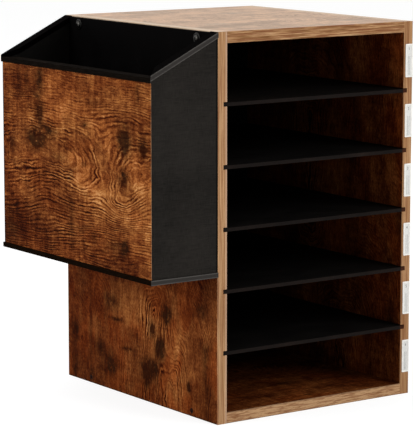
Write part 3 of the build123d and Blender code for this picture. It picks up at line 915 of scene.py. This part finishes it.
def metal(name, darker, lighter, roughness, size, **shaderValues):
    # A worn metal: two tones in small clouds, their size in mm, with fine scratches.
    material, tree, shader = newMaterial(name, **shaderValues)
    place = millimetres(tree)
    cloud = noise(tree, place, (size, size, size), 4.0, 0.65)
    scratch = noise(tree, place, (size * 2, size * 0.15, size * 0.15), 2.0)
    colour = ramp(tree, cloud, [(0.38, darker), (0.62, lighter)])
    finishShader(tree, shader, colour, stretch(tree, cloud, 0.3, 0.7, roughness - 0.08, roughness + 0.08),
                 bump(tree, scratch, 0.02))
    return material


def beechWood():
    material, tree, shader = newMaterial("beechWood", Specular_IOR_Level=0.2)
    place = millimetres(tree)
    grain = noise(tree, place, (14, 0.7, 0.7), 4.0, 0.6)
    flecks = stretch(tree, noise(tree, place, (2.4, 0.4, 0.4), 2.0), 0.6, 0.7)
    colour = ramp(tree, grain, [(0.35, (176, 132, 88)), (0.65, (216, 176, 130))])
    colour = mixColour(tree, calc(tree, "MULTIPLY", flecks, 0.5), colour, srgb(140, 96, 60))
    finishShader(tree, shader, colour, stretch(tree, grain, 0.3, 0.7, 0.6, 0.75), bump(tree, grain, 0.05))
    return material


def addHardware():
    darkSteel = metal("darkSteel", **metals["darkSteel"])
    dullZinc = metal("dullZinc", **metals["dullZinc"])
    beech = beechWood()
    pieces = {name: screw(name, hardware[name]) for name in ("cabinetScrew", "hangerScrew", "floorScrew")}
    pieces["dowel"] = dowel(hardware["dowel"])

    def add(name, node, slot, kind, finish, *layout, **more):
        placed = setInRows(name, pieces[kind], finish, *layout, **more)
        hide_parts(node)
        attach(placed, "cabinet")

    def apart(low, high, width):
        # How far apart the outer pieces of a group stand, in height and in depth.
        return high.z - low.z - width, high.y - low.y - width

    for side, sideName in ((-1, "left"), (1, "right")):
        facing = (0, side * math.pi / 2, 0)
        low, high = (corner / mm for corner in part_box("cabinet_screws"))
        middle = ((low.x, high.x)[side > 0], 0, (low.z + high.z) / 2)
        add(sideName + "CabinetScrews", "cabinet_screws", "dark_screw", "cabinetScrew", darkSteel,
            2, 2, *apart(low, high, hardware["cabinetScrew"]["head"]), middle, facing, seed=4 + side)
        low, high = (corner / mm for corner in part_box("wood_dowels"))
        outer = (low.x, high.x)[side > 0]
        middle = (outer - side * hardware["dowel"]["length"] / 2, 0, (low.z + high.z) / 2)
        add(sideName + "WoodDowels", "wood_dowels", "beech", "dowel", beech,
            2, 2, *apart(low, high, hardware["dowel"]["size"]), middle, facing, seed=8 + side)

    low, high = (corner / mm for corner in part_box("hanger_screws"))
    middle = (low.x + hardware["hangerScrew"]["rise"], 0, (low.z + high.z) / 2)
    add("pocketHangerScrews", "hanger_screws", "zinc_screw", "hangerScrew", dullZinc, 2, 2,
        *apart(low, high, hardware["hangerScrew"]["head"]), middle, (0, -math.pi / 2, 0), seed=15)

    # Under the pocket: two screws up into its front panel, and two into each of its ends
    low, high = (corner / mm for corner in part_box("pocket_floor_screws"))
    panelLow, panelHigh = (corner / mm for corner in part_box("pocket_front_panel"))
    endLow, endHigh = (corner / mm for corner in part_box("pocket_front_end"))
    share = 2 * hardware["floorScrew"]["fromMiddle"]
    middle = ((panelLow.x + panelHigh.x) / 2, 0, low.z)
    add("pocketPanelScrews", "pocket_floor_screws", "dark_screw", "floorScrew", darkSteel, 1, 2,
        0, share * (panelHigh.y - panelLow.y), middle, (math.pi, 0, 0), seed=21)
    run = apart(low, high, hardware["floorScrew"]["head"])[1]
    middle = ((endLow.x + endHigh.x) / 2, 0, low.z)
    add("pocketEndScrews", "pocket_floor_screws", "dark_screw", "floorScrew", darkSteel, 2, 2,
        share * (endHigh.x - endLow.x), run, middle, (math.pi, 0, 0), seed=23)
    for piece in pieces.values():
        bpy.data.objects.remove(piece)
    dress(metal("darkWasher", **metals["darkWasher"]), "hanger_washers")


addHardware()
print("hardware set out")


# Label holders and their cards, with a plain number and ruled lines on each card

label = {
    "holder": {"colour": (252, 250, 245), "size": 0.5, "roughness": 0.42, "specular": 0.3, "depth": 0.02},
    "card": {"colour": (234, 233, 229), "size": 0.25, "roughness": 0.8, "specular": 0.1, "depth": 0.015},
    "ink": {"colour": (110, 108, 106), "size": 0.2, "roughness": 0.7, "specular": 0.1, "depth": 0.005},
    "numberSize": 4.4, "numberDrop": 3.6,       # mm, and mm from the card's top to the number's middle
    "ruleWidth": 0.28, "ruleGap": 2.0, "inkThick": 0.03,
    "ruleShare": 0.62,                  # the rules' length, as a share of the card's height
    "ruleFoot": 3,                      # from their lower ends to the card's foot, in widths of a rule
}


def plainStuff(name, colour, size, roughness, specular, depth):
    # Moulded plastic, card or ink: a mottled tone with a fine skin, its size and depth in mm.
    material, tree, shader = newMaterial(name, Specular_IOR_Level=specular)
    place = millimetres(tree)
    cloud = noise(tree, place, (size * 9,) * 3, 3.0)
    skin = noise(tree, place, (size,) * 3, 3.0, 0.65)
    darker = tuple(value * 0.93 for value in colour)
    value = calc(tree, "MULTIPLY_ADD", cloud, 0.7, calc(tree, "MULTIPLY", skin, 0.3))
    colour = ramp(tree, value, [(0.35, darker), (0.65, colour)])
    finishShader(tree, shader, colour, stretch(tree, cloud, 0.3, 0.7, roughness - 0.05, roughness + 0.05),
                 bump(tree, skin, depth))
    return material


def addLabels():
    holderPlastic = plainStuff("holderPlastic", **label["holder"])
    cardPaper = plainStuff("cardPaper", **label["card"])
    ink = plainStuff("greyInk", **label["ink"])
    count = len([name for name in nodes if name.startswith("label_card_")])
    for index in range(1, count + 1):
        dress(holderPlastic, "label_holder_%d" % index)
        dress(cardPaper, "label_card_%d" % index)
        low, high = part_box("label_card_%d" % index)
        curve = bpy.data.curves.new("number", "FONT")
        curve.body = str(index)
        curve.size = label["numberSize"] * mm
        curve.align_x, curve.align_y = "CENTER", "CENTER"
        curve.extrude = label["inkThick"] * mm / 2
        number = baked(bpy.data.objects.new("labelNumber_%d" % index, curve))
        middle = Vector(((low.x + high.x) / 2, low.y - label["inkThick"] * mm / 2,
                         high.z - label["numberDrop"] * mm))
        number.data.transform(Matrix.Translation(middle) @ Matrix.Rotation(math.pi / 2, 4, "X"))
        number.data.materials.clear()
        number.data.materials.append(ink)
        show(number)
        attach(number, "cabinet")

    # Two ruled lines on each card, in one grid of thin strips
    low, high = (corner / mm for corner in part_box("label_card_1"))
    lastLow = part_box("label_card_%d" % count)[0] / mm
    long = (high.z - low.z) * label["ruleShare"]
    strip = bmesh.new()
    bmesh.ops.create_cube(strip, size=1.0)
    bmesh.ops.scale(strip, verts=strip.verts, vec=(label["ruleWidth"], long, label["inkThick"]))
    rule = meshObject("rule", strip)
    drop = (high.z - low.z - long) / 2 - label["ruleWidth"] * label["ruleFoot"]
    middle = ((low.x + high.x) / 2, low.y - label["inkThick"] / 2, (high.z + lastLow.z) / 2 - drop)
    rules = setInRows("labelRules", rule, ink, 2, count, label["ruleGap"], low.z - lastLow.z,
                      middle, (math.pi / 2, 0, 0), spin=0.0)
    bpy.data.objects.remove(rule)
    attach(rules, "cabinet")


addLabels()
print("labels finished")


# Studio: a pale floor, a white surround and three soft lamps

studio = {
    "floorSize": 30.0, "floorColour": (226, 226, 224),
    "whiteGlow": 0.84, "shadowShare": 0.26,      # how the floor looks: mostly white, less what is shaded
    "worldLight": 0.52,
    "lamps": {
        "keyLamp": {"place": (1.6, -3.2, 2.0), "size": 2.0, "power": 62.0},
        "sideLamp": {"place": (-3.3, 0.9, 1.5), "size": 2.0, "power": 62.0},
        "topLamp": {"place": (-0.2, 0.8, 3.2), "size": 2.4, "power": 40.0},
    },
}


def whiteSeen(tree):
    # 1 for the rays that show the surround as white: seen straight, mirrored or through glass.
    path = tree.nodes.new("ShaderNodeLightPath")
    seen = calc(tree, "MAXIMUM", path.outputs["Is Camera Ray"], path.outputs["Is Glossy Ray"])
    return calc(tree, "MAXIMUM", seen, path.outputs["Is Transmission Ray"])


def mixShader(tree, share, first, second):
    made = tree.nodes.new("ShaderNodeMixShader")
    for index, value in enumerate((share, first, second)):
        feed(tree, made.inputs[index], value)
    return made.outputs[0]


def makeFloor(spec):
    half = spec["floorSize"] / 2
    mesh = bpy.data.meshes.new("floor")
    corners = [(-half, -half, 0), (half, -half, 0), (half, half, 0), (-half, half, 0)]
    mesh.from_pydata(corners, [], [(0, 1, 2, 3)])
    floor = bpy.data.objects.new("floor", mesh)
    show(floor)
    material = bpy.data.materials.new("floorPaper")
    material.use_nodes = True
    tree = material.node_tree
    tree.nodes.clear()
    paper = addNode(tree, "ShaderNodeBsdfDiffuse", {"Color": srgb(*spec["floorColour"])})
    glow = addNode(tree, "ShaderNodeEmission", {"Color": (1, 1, 1, 1), "Strength": spec["whiteGlow"]})
    shade = addNode(tree, "ShaderNodeBsdfDiffuse", {"Color": (spec["shadowShare"],) * 3 + (1.0,)})
    seen = addNode(tree, "ShaderNodeAddShader", {0: glow, 1: shade})
    out = tree.nodes.new("ShaderNodeOutputMaterial")
    tree.links.new(mixShader(tree, whiteSeen(tree), paper, seen), out.inputs["Surface"])
    mesh.materials.append(material)


def makeWorld(spec):
    world = bpy.data.worlds.new("surround")
    bpy.context.scene.world = world
    world.use_nodes = True
    tree = world.node_tree
    tree.nodes.clear()
    light = addNode(tree, "ShaderNodeBackground", {"Color": (1, 1, 1, 1), "Strength": spec["worldLight"]})
    white = addNode(tree, "ShaderNodeBackground", {"Color": (1, 1, 1, 1), "Strength": 1.0})
    out = tree.nodes.new("ShaderNodeOutputWorld")
    tree.links.new(mixShader(tree, whiteSeen(tree), light, white), out.inputs["Surface"])


def makeLamps(lamps, aim):
    for name, spec in lamps.items():
        data = bpy.data.lights.new(name, "AREA")
        data.shape = "DISK"
        data.size = spec["size"]
        data.energy = spec["power"]
        lamp = bpy.data.objects.new(name, data)
        lamp.location = spec["place"]
        lamp.rotation_euler = (aim - Vector(spec["place"])).to_track_quat("-Z", "Y").to_euler()
        show(lamp)


makeFloor(studio)
makeWorld(studio)
makeLamps(studio["lamps"], (cadLow + cadHigh) / 2)
bpy.context.scene.view_settings.view_transform = "Standard"
print("studio ready")
